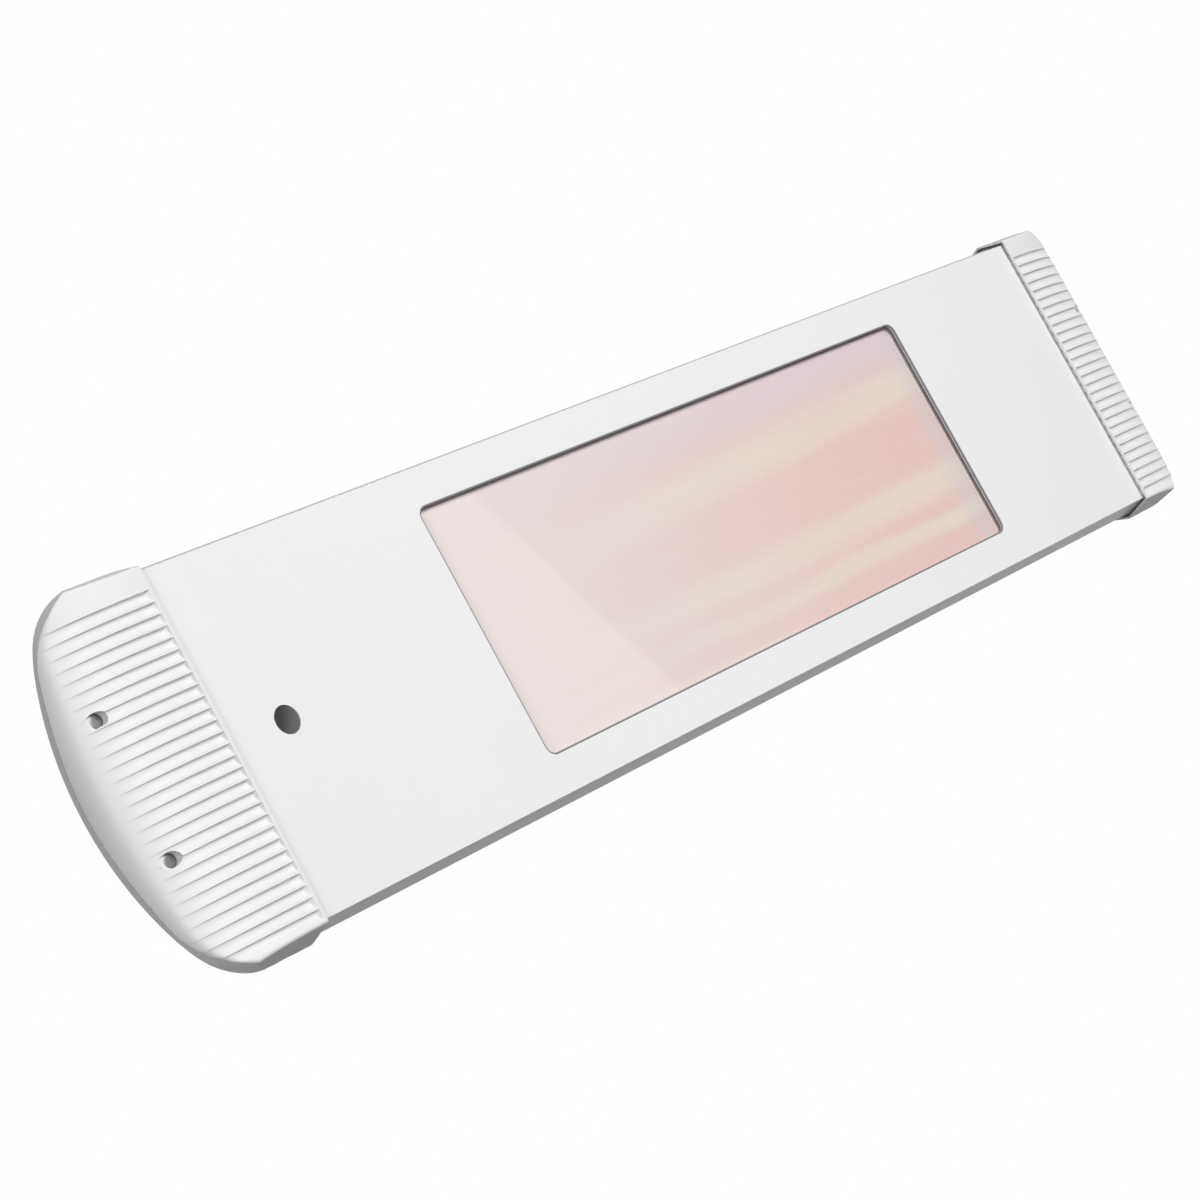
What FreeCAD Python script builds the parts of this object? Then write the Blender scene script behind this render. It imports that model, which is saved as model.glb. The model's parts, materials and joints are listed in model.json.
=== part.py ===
import FreeCAD, Part
import math
import os
from FreeCAD import Vector

# Wall-mounted infrared heater. Millimetres, +Z up, the front faces -Y and X runs along the length.
# The origin is the middle of the wall plate's back face, so the wall is the plane y = 0.
# Depths inside the heater, named t, are measured back from the front face of the panel.

cut_over = 1.0              # overrun of every cut

# Housing: a flat front panel with sides that flare out and then taper to the back
panel_length = 600.0        # between the two end caps
panel_border = 16.5         # panel above and below the window
flare_out = 3.3             # each side is wider by this at flare_depth
flare_depth = 13.5
housing_depth = 50.0
rear_inset = 11.0           # each side is narrower by this at the back
housing_wall = 2.0
sleeve_length = 7.0         # how far the housing reaches into each cap
rear_ledge = 10.0           # ledge under each long edge of the rear cover

# Rear cover
cover_thickness = 2.0
cover_edge = 4.0            # from the cover to the housing's rear corners
cover_screw_count = 5       # along each edge
cover_screw_end = 28.0      # first and last screw from the caps' inner edges
cover_screw_edge = 5.0      # from the cover's long edges
cover_screw_radius = 2.0
cover_screw_length = 6.0
cover_head_radius = 3.8
cover_head_height = 2.2

# Window and what holds its glass
window_left = 143.5         # from the left cap to the opening
window_length = 342.6
window_height = 117.0
window_corner = 5.0
gasket_thickness = 1.2
gasket_setback = 0.6        # the gasket's inner edge behind the panel's
glass_overlap = 7.0         # glass beyond the opening on each side
glass_thickness = 4.0
retainer_overlap = 13.0     # retainer frame beyond the opening
retainer_setback = 1.0
retainer_thickness = 1.2
stud_offset = 10.4          # stud rows from the opening's edge
stud_radius = 1.5
stud_nut_radius = 2.7
stud_nut_height = 2.4
stud_count = 5              # along each long side

# Reflector trough, its end plates and the lamp
trough_side = 1.5           # trough beyond the window's long edges
trough_sheet = 0.8
trough_flange = 6.0
trough_overlap = 7.0        # trough beyond the window at each end
end_plate_sheet = 1.0
lamp_depth = 24.0           # lamp axis behind the front face
tube_radius = 5.5
tube_wall = 1.0
base_set_in = 0.3           # lamp base ends inside the holders' outer faces
filament_radius = 1.0
base_radius = 7.0
base_length = 30.0
base_socket = 5.0           # how far the tube sits in its base
base_fit = 0.05
plate_fit = 0.4             # lamp base in the end plate
holder_width = 22.0
holder_height = 26.0
holder_length = 11.0
shield_sheet = 0.8
shield_edge = 2.0           # from the shield to the rear ledges
shield_gap = 0.5            # behind the trough
shield_clearance = 1.5      # in front of the yoke's backing plate

# Receiver in the panel
receiver_from_cap = 30.4
receiver_radius = 6.0
receiver_fit = 0.1
receiver_recess = 0.4
receiver_flange = 2.2       # flange beyond the lens
receiver_flange_thickness = 1.2
sensor_width = 8.0
sensor_height = 6.0
sensor_depth = 2.8
receiver_board_length = 26.0
receiver_board_height = 22.0

# Electronics in the left compartment
board_sheet = 1.6
board_length = 84.0
board_height = 86.0
board_from_cap = 14.0       # board edge from the left cap's edge
standoff_height = 10.0
standoff_radius = 3.0
standoff_edge = 6.0
sink_length = 44.0
sink_height = 40.0
sink_base = 4.0
sink_depth = 20.0
sink_fin = 1.6
sink_fin_count = 7
terminal_length = 16.0
terminal_height = 34.0
terminal_depth = 14.0
terminal_offset = 24.0      # above the lamp's axis
terminal_gap = 12.0         # from the board's edge
terminal_ways = 3
terminal_screw_radius = 2.2
terminal_screw_depth = 3.0
cutout_radius = 8.0
cutout_height = 6.0
cutout_offset = 31.0        # above the lamp's axis
lead_radius = 1.3
lead_bend = 8.0
lead_above_window = 1.5     # the long lead runs this far above the window
lead_out = 22.0             # how far the long lead leaves its lamp base

# Cable gland in the rear cover
gland_offset = 26.0         # below the lamp's axis
gland_thread_radius = 8.0
gland_bore_radius = 4.0
gland_hex = 22.0            # across flats
gland_hex_height = 6.0
gland_dome_height = 11.0
gland_dome_radius = 9.0
gland_nut_height = 4.0
gland_thread_length = 8.0   # inside the cover
gland_fit = 0.2

# End caps: ribbed domes that sleeve over the housing's ends
cap_length = 57.0
cap_wall = 2.0
cap_side_wall = 1.4
cap_front_gap = 0.4
cap_front_side_gap = 0.1    # between the housing's sides and the cap's, at the front
cap_side_gap = 1.3          # the same at flare_depth
cap_rear_side_gap = 1.6     # the same at the back
cap_rear_gap = 1.0
dome_margin = 1.0           # the dome's ellipse reaches this far beyond the cap's end
dome_drop = 27.0
cap_lip = 1.5               # straight edge behind the dome
cap_back_run = 24.0         # how far the cap's back slopes in
cap_end_radius = 300.0
cap_corner_radius = 34.0
cap_plan_margin = 0.5
cap_rear_room = 23.9        # beyond the seal, along the middle of the cap's back
cap_rear_radius = 125.0
cap_rear_corner = 36.0
cap_draft_share = 0.9       # how far the rear draws in, of its depth
groove_pitch = 5.07
groove_top_margin = 10.1    # from the cap's upper edge to the first groove's step
groove_foot_margin = 5.5    # least distance from the last step to the cap's lower edge
groove_start = 1.5          # from the cap's inner edge
groove_depth = 1.0
groove_run_out = 2.4        # makes the grooves fade along the dome
groove_ramp_share = 0.94    # of the pitch
groove_end_share = 0.9      # of the cap's length
groove_lift = 0.1           # each ramp ends this far above the dome

# Cap screws and the end brackets they screw into
cap_screw_out = 43.0        # from the cap's inner edge
cap_screw_height = 29.3     # above and below the middle
cap_recess_radius = 3.2
cap_boss_wall = 2.0
cap_seat_depth = 9.4        # where the screw heads sit, close under the dome
cap_seat_thickness = 8.6
cap_screw_radius = 1.75
cap_screw_fit = 0.25
cap_screw_length = 15.6
cap_screw_head_radius = 2.9
cap_screw_head_height = 1.2
bracket_sheet = 1.5
bracket_width = 84.0
bracket_foot = 12.0
bracket_set_in = 2.0        # riser inside the cap's inner edge
bracket_tab_end = 48.0      # from the cap's inner edge
seal_length = 3.5
seal_gap = 0.15
seal_end = 1.5              # from the housing's end

# Tilting wall mount
pivot_from_wall = 52.0
pivot_from_back = 16.0      # behind the rear cover
mount_sheet = 3.0
wall_plate_length = 110.0
wall_plate_height = 84.0
wall_plate_corner = 8.0
wall_hole_radius = 3.25
wall_hole_span_x = 86.0
wall_hole_span_z = 60.0
ear_radius = 12.0
ear_root_height = 56.0
yoke_half_width = 32.0      # outside of the yoke's ears
yoke_height = 60.0
yoke_ear_radius = 11.0
washer_thickness = 1.0
washer_radius = 9.0
wear_gap = 0.1              # beside each turning face
pivot_radius = 3.0
pivot_fit = 0.05
pivot_hole_fit = 0.2
pivot_hex = 10.0            # across flats
pivot_head_height = 4.0
pivot_nut_height = 5.0
pivot_thread_end = 2.0      # bolt end beyond its nut
yoke_screw_x = 19.0
yoke_screw_z = 21.0
yoke_screw_radius = 2.5
yoke_head_radius = 4.5
yoke_head_height = 2.8
yoke_screw_end = 0.6        # screw end beyond the backing plate
backing_margin = 6.0
screw_fit = 0.25

# Places that follow from the sizes above
cover_back = housing_depth + cover_thickness
front_y = -(pivot_from_wall + pivot_from_back + cover_back)
pivot_depth = cover_back + pivot_from_back
half_panel = panel_length / 2
panel_width = window_height + 2 * panel_border
housing_width = panel_width + 2 * flare_out
housing_rear_width = panel_width - 2 * rear_inset
cover_width = housing_rear_width - 2 * cover_edge
rear_opening_width = cover_width - 2 * rear_ledge
half_housing = half_panel + sleeve_length
window_x0 = window_left - half_panel
window_x1 = window_x0 + window_length
window_mid = (window_x0 + window_x1) / 2
half_window = window_height / 2
gasket_t = housing_wall
glass_t = gasket_t + gasket_thickness
retainer_t = glass_t + glass_thickness
trough_t = retainer_t + retainer_thickness
trough_half_width = half_window + trough_side
shield_t = housing_depth - mount_sheet - shield_clearance - shield_sheet
trough_depth = shield_t - shield_gap - trough_sheet - trough_t
shield_width = rear_opening_width - 2 * shield_edge
lead_rise = half_window + lead_above_window
trough_x0 = window_x0 - trough_overlap
trough_x1 = window_x1 + trough_overlap
holder_reach = end_plate_sheet + holder_length - base_set_in
tube_length = trough_x1 - trough_x0 + 2 * (holder_reach + base_socket - base_length)
cap_proud = cap_front_gap + cap_wall
cap_back = cover_back + cap_rear_gap + cap_wall
# the rear's outline is carried forward along its slant to the panel's plane
cap_rear_reach = sleeve_length - seal_end + cap_wall + cap_rear_room + cap_draft_share * cap_back
cap_front_width = panel_width + 2 * (cap_side_wall + cap_front_side_gap)
cap_width = housing_width + 2 * (cap_side_wall + cap_side_gap)
cap_rear_width = housing_rear_width + 2 * (cap_side_wall + cap_rear_side_gap)
groove_top = cap_front_width / 2 - groove_top_margin
groove_room = cap_front_width - groove_top_margin - groove_foot_margin
groove_count = 1 + int(groove_room / groove_pitch)
dome_reach = cap_length + dome_margin
dome_middle = dome_drop - cap_proud
receiver_x = receiver_from_cap - half_panel
board_x0 = board_from_cap - half_panel
board_t = housing_depth - standoff_height - board_sheet
terminal_x = board_x0 + board_length + terminal_gap
ear_inside = yoke_half_width + washer_thickness
ear_outside = ear_inside + mount_sheet


def export(name, *shapes):
    shape = shapes[0] if len(shapes) == 1 else Part.makeCompound(list(shapes))
    shape.exportStep("parts/" + name + ".step")
    print(name, len(shape.Solids), "solids, valid", shape.isValid(), "volume", round(shape.Volume, 1))


def at(x, t, z):
    return Vector(x, front_y + t, z)


def box(x0, x1, t0, t1, z0, z1):
    return Part.makeBox(x1 - x0, t1 - t0, z1 - z0, at(x0, t0, z0))


def rod_back(x, z, radius, t0, t1):
    return Part.makeCylinder(radius, t1 - t0, at(x, t0, z), Vector(0, 1, 0))


def rod_along(t, z, radius, x0, x1):
    return Part.makeCylinder(radius, x1 - x0, at(x0, t, z), Vector(1, 0, 0))


def rounded_plate(x0, x1, t0, t1, z0, z1, corner):
    plate = box(x0, x1, t0, t1, z0, z1)
    sizes = [(e, e.BoundBox) for e in plate.Edges]
    upright = [e for e, b in sizes if b.YLength > b.XLength + b.ZLength]
    return plate.makeFillet(corner, upright)


def prism_along(section, x0, x1):
    # section holds (t, z) points and is carried along X
    wire = Part.makePolygon([at(x0, t, z) for t, z in section + section[:1]])
    return Part.Face(wire).extrude(Vector(x1 - x0, 0, 0))


def hexagon(across_flats, centre, axis, turned, height):
    # a hexagonal prism from centre along axis; turned is a unit vector square to axis
    radius = across_flats / math.sqrt(3)
    side = axis.cross(turned)
    corners = []
    for k in range(7):
        angle = k * math.pi / 3
        corners.append(centre + turned * (radius * math.cos(angle)) + side * (radius * math.sin(angle)))
    return Part.Face(Part.makePolygon(corners)).extrude(axis * height)


def inset(section, walls):
    # moves each edge of a convex outline inwards by its own wall and returns the new corners
    count = len(section)
    area = sum(section[k - 1][0] * section[k][1] - section[k][0] * section[k - 1][1] for k in range(count))
    turn = math.copysign(1, area)
    lines = []
    for k in range(count):
        (t0, z0), (t1, z1) = section[k], section[(k + 1) % count]
        length = math.hypot(t1 - t0, z1 - z0)
        normal = (-(z1 - z0) / length * turn, (t1 - t0) / length * turn)
        lines.append((normal, normal[0] * t0 + normal[1] * z0 + walls[k]))
    corners = []
    for k in range(count):
        (n0, d0), (n1, d1) = lines[k - 1], lines[k]
        det = n0[0] * n1[1] - n0[1] * n1[0]
        corners.append(((d0 * n1[1] - d1 * n0[1]) / det, (n0[0] * d1 - n1[0] * d0) / det))
    return corners


def mirrored(shape):
    return shape.mirror(Vector(0, 0, 0), Vector(1, 0, 0))


def six_sided(front, front_width, width, depth, back, rear_width):
    # an outline in (t, z): flat front and back, widest at depth
    return [(front, -front_width / 2), (front, front_width / 2), (depth, width / 2),
            (back, rear_width / 2), (back, -rear_width / 2), (depth, -width / 2)]


housing_outline = six_sided(0, panel_width, housing_width, flare_depth,
                            housing_depth, housing_rear_width)
cap_outline = six_sided(-cap_proud, cap_front_width, cap_width, flare_depth, cap_back, cap_rear_width)
cap_walls = [cap_wall, cap_side_wall, cap_side_wall, cap_wall, cap_side_wall, cap_side_wall]


def cover_screw_places():
    first = cover_screw_end - half_panel
    step = -2 * first / (cover_screw_count - 1)
    z = cover_width / 2 - cover_screw_edge
    return [(first + k * step, side * z) for k in range(cover_screw_count) for side in (-1, 1)]


def yoke_screw_places():
    return [(i * yoke_screw_x, j * yoke_screw_z) for i in (-1, 1) for j in (-1, 1)]


def stud_places():
    step = window_length / (stud_count - 1)
    z = half_window + stud_offset
    return [(window_x0 + k * step, side * z) for k in range(stud_count) for side in (-1, 1)]


def cap_screw_places():
    x = half_panel + cap_screw_out
    return [(i * x, j * cap_screw_height) for i in (-1, 1) for j in (-1, 1)]


def housing_shell():
    shell = prism_along(housing_outline, -half_housing, half_housing)
    hollow = prism_along(inset(housing_outline, [housing_wall] * len(housing_outline)),
                         -half_housing - cut_over, half_housing + cut_over)
    rear = box(-half_housing - cut_over, half_housing + cut_over, housing_depth - housing_wall - cut_over,
               housing_depth + cut_over, -rear_opening_width / 2, rear_opening_width / 2)
    window = rounded_plate(window_x0, window_x1, -cut_over, housing_wall + cut_over,
                           -half_window, half_window, window_corner)
    receiver = rod_back(receiver_x, 0, receiver_radius + receiver_fit, -cut_over, housing_wall + cut_over)
    ledge_t = housing_depth - housing_wall
    holes = [rod_back(x, z, cover_screw_radius, ledge_t - cut_over, housing_depth + cut_over)
             for x, z in cover_screw_places()]
    return shell.cut([hollow, rear, window, receiver] + holes)


def rear_cover():
    plate = box(-half_housing, half_housing, housing_depth, cover_back, -cover_width / 2, cover_width / 2)
    t0 = housing_depth - cut_over
    t1 = cover_back + cut_over
    holes = [rod_back(x, z, cover_screw_radius + screw_fit, t0, t1) for x, z in cover_screw_places()]
    holes += [rod_back(x, z, yoke_screw_radius + screw_fit, t0, t1) for x, z in yoke_screw_places()]
    holes.append(rod_back(terminal_x, -gland_offset, gland_thread_radius + gland_fit, t0, t1))
    return plate.cut(holes)


def headed_screw(x, z, seat, radius, length, head_radius, head_height):
    # a screw whose head stands behind its seat and whose shank points to the front
    head = rod_back(x, z, head_radius, seat, seat + head_height)
    middle_y = front_y + seat + head_height / 2
    rim = [e for e in head.Edges if len(e.Vertexes) == 1 and e.BoundBox.YMax > middle_y]
    return head.makeFillet(head_height / 2, rim).fuse(rod_back(x, z, radius, seat - length, seat))


def rear_cover_screws():
    return [headed_screw(x, z, cover_back, cover_screw_radius, cover_screw_length, cover_head_radius,
                         cover_head_height) for x, z in cover_screw_places()]


def cap_plan(reach, bow_radius, corner, half_width, start):
    # the right cap's outline as seen from the front: straight sides, round corners and a bowed end
    x0 = half_panel
    block = box(x0 + start, x0 + reach + cut_over, -cap_proud - cut_over, cap_back + cut_over,
                -half_width, half_width)
    bow = rod_back(x0 + reach - bow_radius, 0, bow_radius, -cap_proud - 2 * cut_over,
                   cap_back + 2 * cut_over)
    plan = block.common(bow)
    ends = [e for e in plan.Edges if e.BoundBox.YLength > cap_back and e.BoundBox.XMin > x0
            and e.BoundBox.ZLength < cut_over]
    return plan.makeFillet(corner, ends)


def cap_rear(front_wall, half_width):
    # a slanted prism that draws the cap in towards its back, so that the end recedes behind its rim
    plan = cap_plan(cap_rear_reach - front_wall, cap_rear_radius - front_wall, cap_rear_corner - front_wall,
                    half_width, -cap_length)
    face = min(plan.Faces, key=lambda f: f.CenterOfMass.y)
    lead = cap_proud + cut_over
    depth = lead + cap_back + cut_over
    face = face.translated(Vector(cap_draft_share * lead, 0, 0))
    return face.extrude(Vector(-cap_draft_share * depth, depth, 0))


def cap_form(front_wall, walls, start):
    # the right cap as four crossed prisms, drawn in by its walls; start is its inner end
    x0 = half_panel
    reach = dome_reach - front_wall
    drop = dome_drop - front_wall
    ellipse = Part.Ellipse(at(x0, dome_middle, 0), reach, drop)
    dome = Part.ArcOfEllipse(ellipse, 3 * math.pi / 2, 2 * math.pi).toShape()
    corners = [at(x0 + reach, dome_middle, 0), at(x0 + reach, dome_middle + cap_lip, 0),
               at(x0 + reach - cap_back_run, cap_back - front_wall, 0),
               at(x0 + start, cap_back - front_wall, 0), at(x0 + start, dome_middle - drop, 0)]
    if start:
        corners.append(at(x0, dome_middle - drop, 0))
    lines = [Part.makeLine(a, b) for a, b in zip(corners, corners[1:])]
    side_view = Part.Face(Part.Wire([dome] + lines))
    side_view.translate(Vector(0, 0, -cap_width))
    profile = side_view.extrude(Vector(0, 0, 2 * cap_width))
    section = prism_along(inset(cap_outline, walls), x0 + start, x0 + dome_reach + cut_over)
    half_plan = cap_width / 2 + cap_plan_margin - max(walls)
    plan = cap_plan(cap_length - front_wall, cap_end_radius - front_wall, cap_corner_radius - front_wall,
                    half_plan, start)
    return profile.common(section).common(plan).common(cap_rear(front_wall, half_plan))


def cap_grooves():
    # each groove has a step that faces down and a ramp that rises from it to the next step
    x0 = half_panel
    reach = dome_reach + groove_run_out
    drop = dome_drop - groove_depth
    ellipse = Part.Ellipse(at(x0, dome_middle, 0), reach, drop)
    first = math.acos(groove_start / reach)
    last = math.acos(groove_end_share * cap_length / reach)
    floor = Part.ArcOfEllipse(ellipse, 2 * math.pi - first, 2 * math.pi - last).toShape()
    inner, outer = floor.Vertexes[0].Point, floor.Vertexes[-1].Point
    top_y = front_y - cap_proud - cut_over
    corners = [outer, Vector(outer.x, top_y, 0), Vector(inner.x, top_y, 0), inner]
    lines = [Part.makeLine(a, b) for a, b in zip(corners, corners[1:])]
    face = Part.Face(Part.Wire([floor] + lines))
    cutter = face.extrude(Vector(0, -groove_depth - groove_lift, -groove_ramp_share * groove_pitch))
    return [cutter.translated(Vector(0, 0, groove_top - k * groove_pitch)) for k in range(groove_count)]


def right_end_cap():
    form = cap_form(0, [0] * len(cap_walls), 0)
    cap = form.cut(cap_form(cap_wall, cap_walls, -cut_over))
    places = [(x, z) for x, z in cap_screw_places() if x > 0]
    seat_end = cap_seat_depth + cap_seat_thickness
    bosses = [rod_back(x, z, cap_recess_radius + cap_boss_wall, -cap_proud, seat_end) for x, z in places]
    cap = cap.fuse([boss.common(form) for boss in bosses])
    cuts = [rod_back(x, z, cap_recess_radius, -cap_proud - cut_over, cap_seat_depth) for x, z in places]
    cuts += [rod_back(x, z, cap_screw_radius + cap_screw_fit, 0, seat_end + cut_over) for x, z in places]
    return cap.cut(cuts + cap_grooves())


def right_end_bracket():
    # a folded strip: foot on the panel's inside, a riser, and a tab under the cap's screw bosses
    tab_t = cap_seat_depth + cap_seat_thickness
    x0 = half_panel
    riser = x0 - bracket_set_in - bracket_sheet
    half = bracket_width / 2
    foot = box(riser - bracket_foot, riser, housing_wall, housing_wall + bracket_sheet, -half, half)
    leg = box(riser, riser + bracket_sheet, housing_wall, tab_t + bracket_sheet, -half, half)
    tab = box(riser, x0 + bracket_tab_end, tab_t, tab_t + bracket_sheet, -half, half)
    holes = [rod_back(x, z, cap_screw_radius, tab_t - cut_over, tab_t + bracket_sheet + cut_over)
             for x, z in cap_screw_places() if x > 0]
    return foot.fuse([leg, tab]).removeSplitter().cut(holes)


def cap_screws():
    screws = []
    for x, z in cap_screw_places():
        seat = cap_seat_depth
        head = rod_back(x, z, cap_screw_head_radius, seat - cap_screw_head_height, seat)
        screws.append(head.fuse(rod_back(x, z, cap_screw_radius, seat, seat + cap_screw_length)))
    return screws


def right_cap_seal():
    # fills the space between the housing's end and the cap
    x1 = half_housing - seal_end
    outer = prism_along(inset(cap_outline, [w + seal_gap for w in cap_walls]), x1 - seal_length, x1)
    inner = prism_along(inset(housing_outline, [-seal_gap / 2] * len(housing_outline)),
                        x1 - seal_length - cut_over, x1 + cut_over)
    half_cover = cover_width / 2 + seal_gap
    cover = box(x1 - seal_length - cut_over, x1 + cut_over, housing_depth - cut_over,
                cover_back + seal_gap / 2, -half_cover, half_cover)
    return outer.cut([inner, cover])


def window_frame(outer, inner, t0, t1):
    # a flat frame round the window: outer and inner are margins beyond the opening
    frame = rounded_plate(window_x0 - outer, window_x1 + outer, t0, t1,
                          -half_window - outer, half_window + outer, window_corner)
    hole = rounded_plate(window_x0 - inner, window_x1 + inner, t0 - cut_over, t1 + cut_over,
                         -half_window - inner, half_window + inner, window_corner)
    return frame.cut(hole)


def window_glass():
    half_height = half_window + glass_overlap
    return rounded_plate(window_x0 - glass_overlap, window_x1 + glass_overlap, glass_t, retainer_t,
                         -half_height, half_height, window_corner)


def glass_retainer():
    frame = window_frame(retainer_overlap, retainer_setback, retainer_t, trough_t)
    return frame.cut([rod_back(x, z, stud_radius + screw_fit, retainer_t - cut_over, trough_t + cut_over)
                      for x, z in stud_places()])


def retainer_studs():
    studs = []
    for x, z in stud_places():
        nut = hexagon(2 * stud_nut_radius, at(x, trough_t, z), Vector(0, 1, 0), Vector(1, 0, 0),
                      stud_nut_height)
        studs.append(nut.fuse(rod_back(x, z, stud_radius, housing_wall, trough_t + stud_nut_height)))
    return studs


def trough_face(half_width, depth, x):
    # half an ellipse that opens to the front, closed by a straight edge
    ellipse = Part.Ellipse(at(x, trough_t, half_width), at(x, trough_t + depth, 0), at(x, trough_t, 0))
    arc = Part.ArcOfEllipse(ellipse, 0, math.pi).toShape()
    ends = [v.Point for v in arc.Vertexes]
    return Part.Face(Part.Wire([arc, Part.makeLine(ends[-1], ends[0])]))


def reflector():
    length = Vector(trough_x1 - trough_x0, 0, 0)
    shell = trough_face(trough_half_width, trough_depth + trough_sheet, trough_x0).extrude(length)
    hollow = trough_face(trough_half_width - trough_sheet, trough_depth, trough_x0 - cut_over)
    hollow = hollow.extrude(length + Vector(2 * cut_over, 0, 0))
    trough = shell.cut(hollow)
    inner = trough_half_width - trough_sheet
    flanges = [box(trough_x0, trough_x1, trough_t, trough_t + trough_sheet, min(z0, z1), max(z0, z1))
               for z0, z1 in ((inner, inner + trough_flange), (-inner, -inner - trough_flange))]
    return trough.fuse([flange.cut(hollow) for flange in flanges]).removeSplitter()


def reflector_ends():
    plates = []
    for x in (trough_x0 - end_plate_sheet, trough_x1):
        face = trough_face(trough_half_width, trough_depth + trough_sheet, x)
        plate = face.extrude(Vector(end_plate_sheet, 0, 0))
        plates.append(plate.cut(rod_along(lamp_depth, 0, base_radius + plate_fit, x - cut_over,
                                          x + end_plate_sheet + cut_over)))
    return plates


def quartz_tube():
    x0 = window_mid - tube_length / 2
    x1 = x0 + tube_length
    tube = rod_along(lamp_depth, 0, tube_radius, x0, x1)
    return tube.cut(rod_along(lamp_depth, 0, tube_radius - tube_wall, x0 - cut_over, x1 + cut_over))


def filament():
    x0 = window_mid - tube_length / 2
    return rod_along(lamp_depth, 0, filament_radius, x0, x0 + tube_length)


def lamp_bases():
    bases = []
    for side in (-1, 1):
        tube_end = window_mid + side * tube_length / 2
        ends = sorted((tube_end - side * base_socket, tube_end - side * base_socket + side * base_length))
        socket = sorted((tube_end, tube_end - side * (base_socket + cut_over)))
        base = rod_along(lamp_depth, 0, base_radius, ends[0], ends[1])
        bases.append(base.cut(rod_along(lamp_depth, 0, tube_radius + base_fit, socket[0], socket[1])))
    return bases


def lamp_holders():
    holders = []
    for x0 in (trough_x0 - end_plate_sheet - holder_length, trough_x1 + end_plate_sheet):
        block = box(x0, x0 + holder_length, lamp_depth - holder_height / 2, lamp_depth + holder_height / 2,
                    -holder_width / 2, holder_width / 2)
        holders.append(block.cut(rod_along(lamp_depth, 0, base_radius + base_fit, x0 - cut_over,
                                           x0 + holder_length + cut_over)))
    return holders


def heat_shield():
    return box(trough_x0, trough_x1, shield_t, shield_t + shield_sheet, -shield_width / 2, shield_width / 2)


def receiver_lens():
    flange_t = housing_wall
    lens = rod_back(receiver_x, 0, receiver_radius, receiver_recess, flange_t + receiver_flange_thickness)
    return lens.fuse(rod_back(receiver_x, 0, receiver_radius + receiver_flange, flange_t,
                              flange_t + receiver_flange_thickness))


def receiver_board():
    sensor_t = housing_wall + receiver_flange_thickness
    board_front = sensor_t + sensor_depth
    sensor = box(receiver_x - sensor_width / 2, receiver_x + sensor_width / 2, sensor_t, board_front,
                 -sensor_height / 2, sensor_height / 2)
    board = box(receiver_x - receiver_board_length / 2, receiver_x + receiver_board_length / 2, board_front,
                board_front + board_sheet, -receiver_board_height / 2, receiver_board_height / 2)
    return board.fuse(sensor)


def board_corners():
    x0 = board_x0 + standoff_edge
    x1 = board_x0 + board_length - standoff_edge
    z = board_height / 2 - standoff_edge
    return [(x, side * z) for x in (x0, x1) for side in (-1, 1)]


def control_board():
    return box(board_x0, board_x0 + board_length, board_t, board_t + board_sheet,
               -board_height / 2, board_height / 2)


def board_standoffs():
    return [rod_back(x, z, standoff_radius, board_t + board_sheet, housing_depth) for x, z in board_corners()]


def heat_sink():
    x0 = board_x0 + (board_length - sink_length) / 2
    base = box(x0, x0 + sink_length, board_t - sink_base, board_t, -sink_height / 2, sink_height / 2)
    step = (sink_height - sink_fin) / (sink_fin_count - 1)
    feet = [k * step - sink_height / 2 for k in range(sink_fin_count)]
    fins = [box(x0, x0 + sink_length, board_t - sink_depth, board_t - sink_base, z, z + sink_fin)
            for z in feet]
    return base.fuse(fins).removeSplitter()


def terminal_block():
    t0 = housing_depth - terminal_depth
    z0 = terminal_offset - terminal_height / 2
    block = box(terminal_x - terminal_length / 2, terminal_x + terminal_length / 2, t0, housing_depth,
                z0, z0 + terminal_height)
    step = terminal_height / terminal_ways
    return block.cut([rod_back(terminal_x, z0 + (2 * k + 1) * step / 2, terminal_screw_radius, t0 - cut_over,
                               t0 + terminal_screw_depth) for k in range(terminal_ways)])


def thermal_cutout():
    x1 = trough_x0 - end_plate_sheet
    return rod_along(lamp_depth, cutout_offset, cutout_radius, x1 - cutout_height, x1)


def bent_lead(points):
    # a wire along straight runs that are joined by arcs of one bend radius
    edges = []
    start = points[0]
    for before, corner, after in zip(points, points[1:], points[2:]):
        into = (corner - before).normalize()
        out = (after - corner).normalize()
        turn = into.getAngle(out)
        set_back = lead_bend * math.tan(turn / 2)
        inward = (out - into).normalize()
        middle = corner + inward * (lead_bend / math.cos(turn / 2) - lead_bend)
        edges.append(Part.makeLine(start, corner - into * set_back))
        start = corner + out * set_back
        edges.append(Part.Arc(corner - into * set_back, middle, start).toShape())
    edges.append(Part.makeLine(start, points[-1]))
    path = Part.Wire(edges)
    heading = (points[1] - points[0]).normalize()
    ring = Part.Wire(Part.makeCircle(lead_radius, points[0], heading))
    return path.makePipeShell([ring], True, False)


def lamp_leads():
    far = tube_length / 2 - base_socket + base_length
    left_end = window_mid - far
    right_end = window_mid + far
    block_t = housing_depth - terminal_depth
    top = terminal_offset + terminal_height / 2
    inside = (block_t + housing_depth) / 2
    short = [at(left_end, lamp_depth, 0), at(terminal_x, lamp_depth, 0),
             at(terminal_x, lamp_depth, terminal_offset),
             at(terminal_x, block_t + terminal_screw_depth, terminal_offset)]
    long = [at(right_end, lamp_depth, 0), at(right_end + lead_out, lamp_depth, 0),
            at(right_end + lead_out, lamp_depth, lead_rise), at(terminal_x, lamp_depth, lead_rise),
            at(terminal_x, inside, lead_rise), at(terminal_x, inside, top)]
    return [bent_lead(short), bent_lead(long)]


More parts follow.
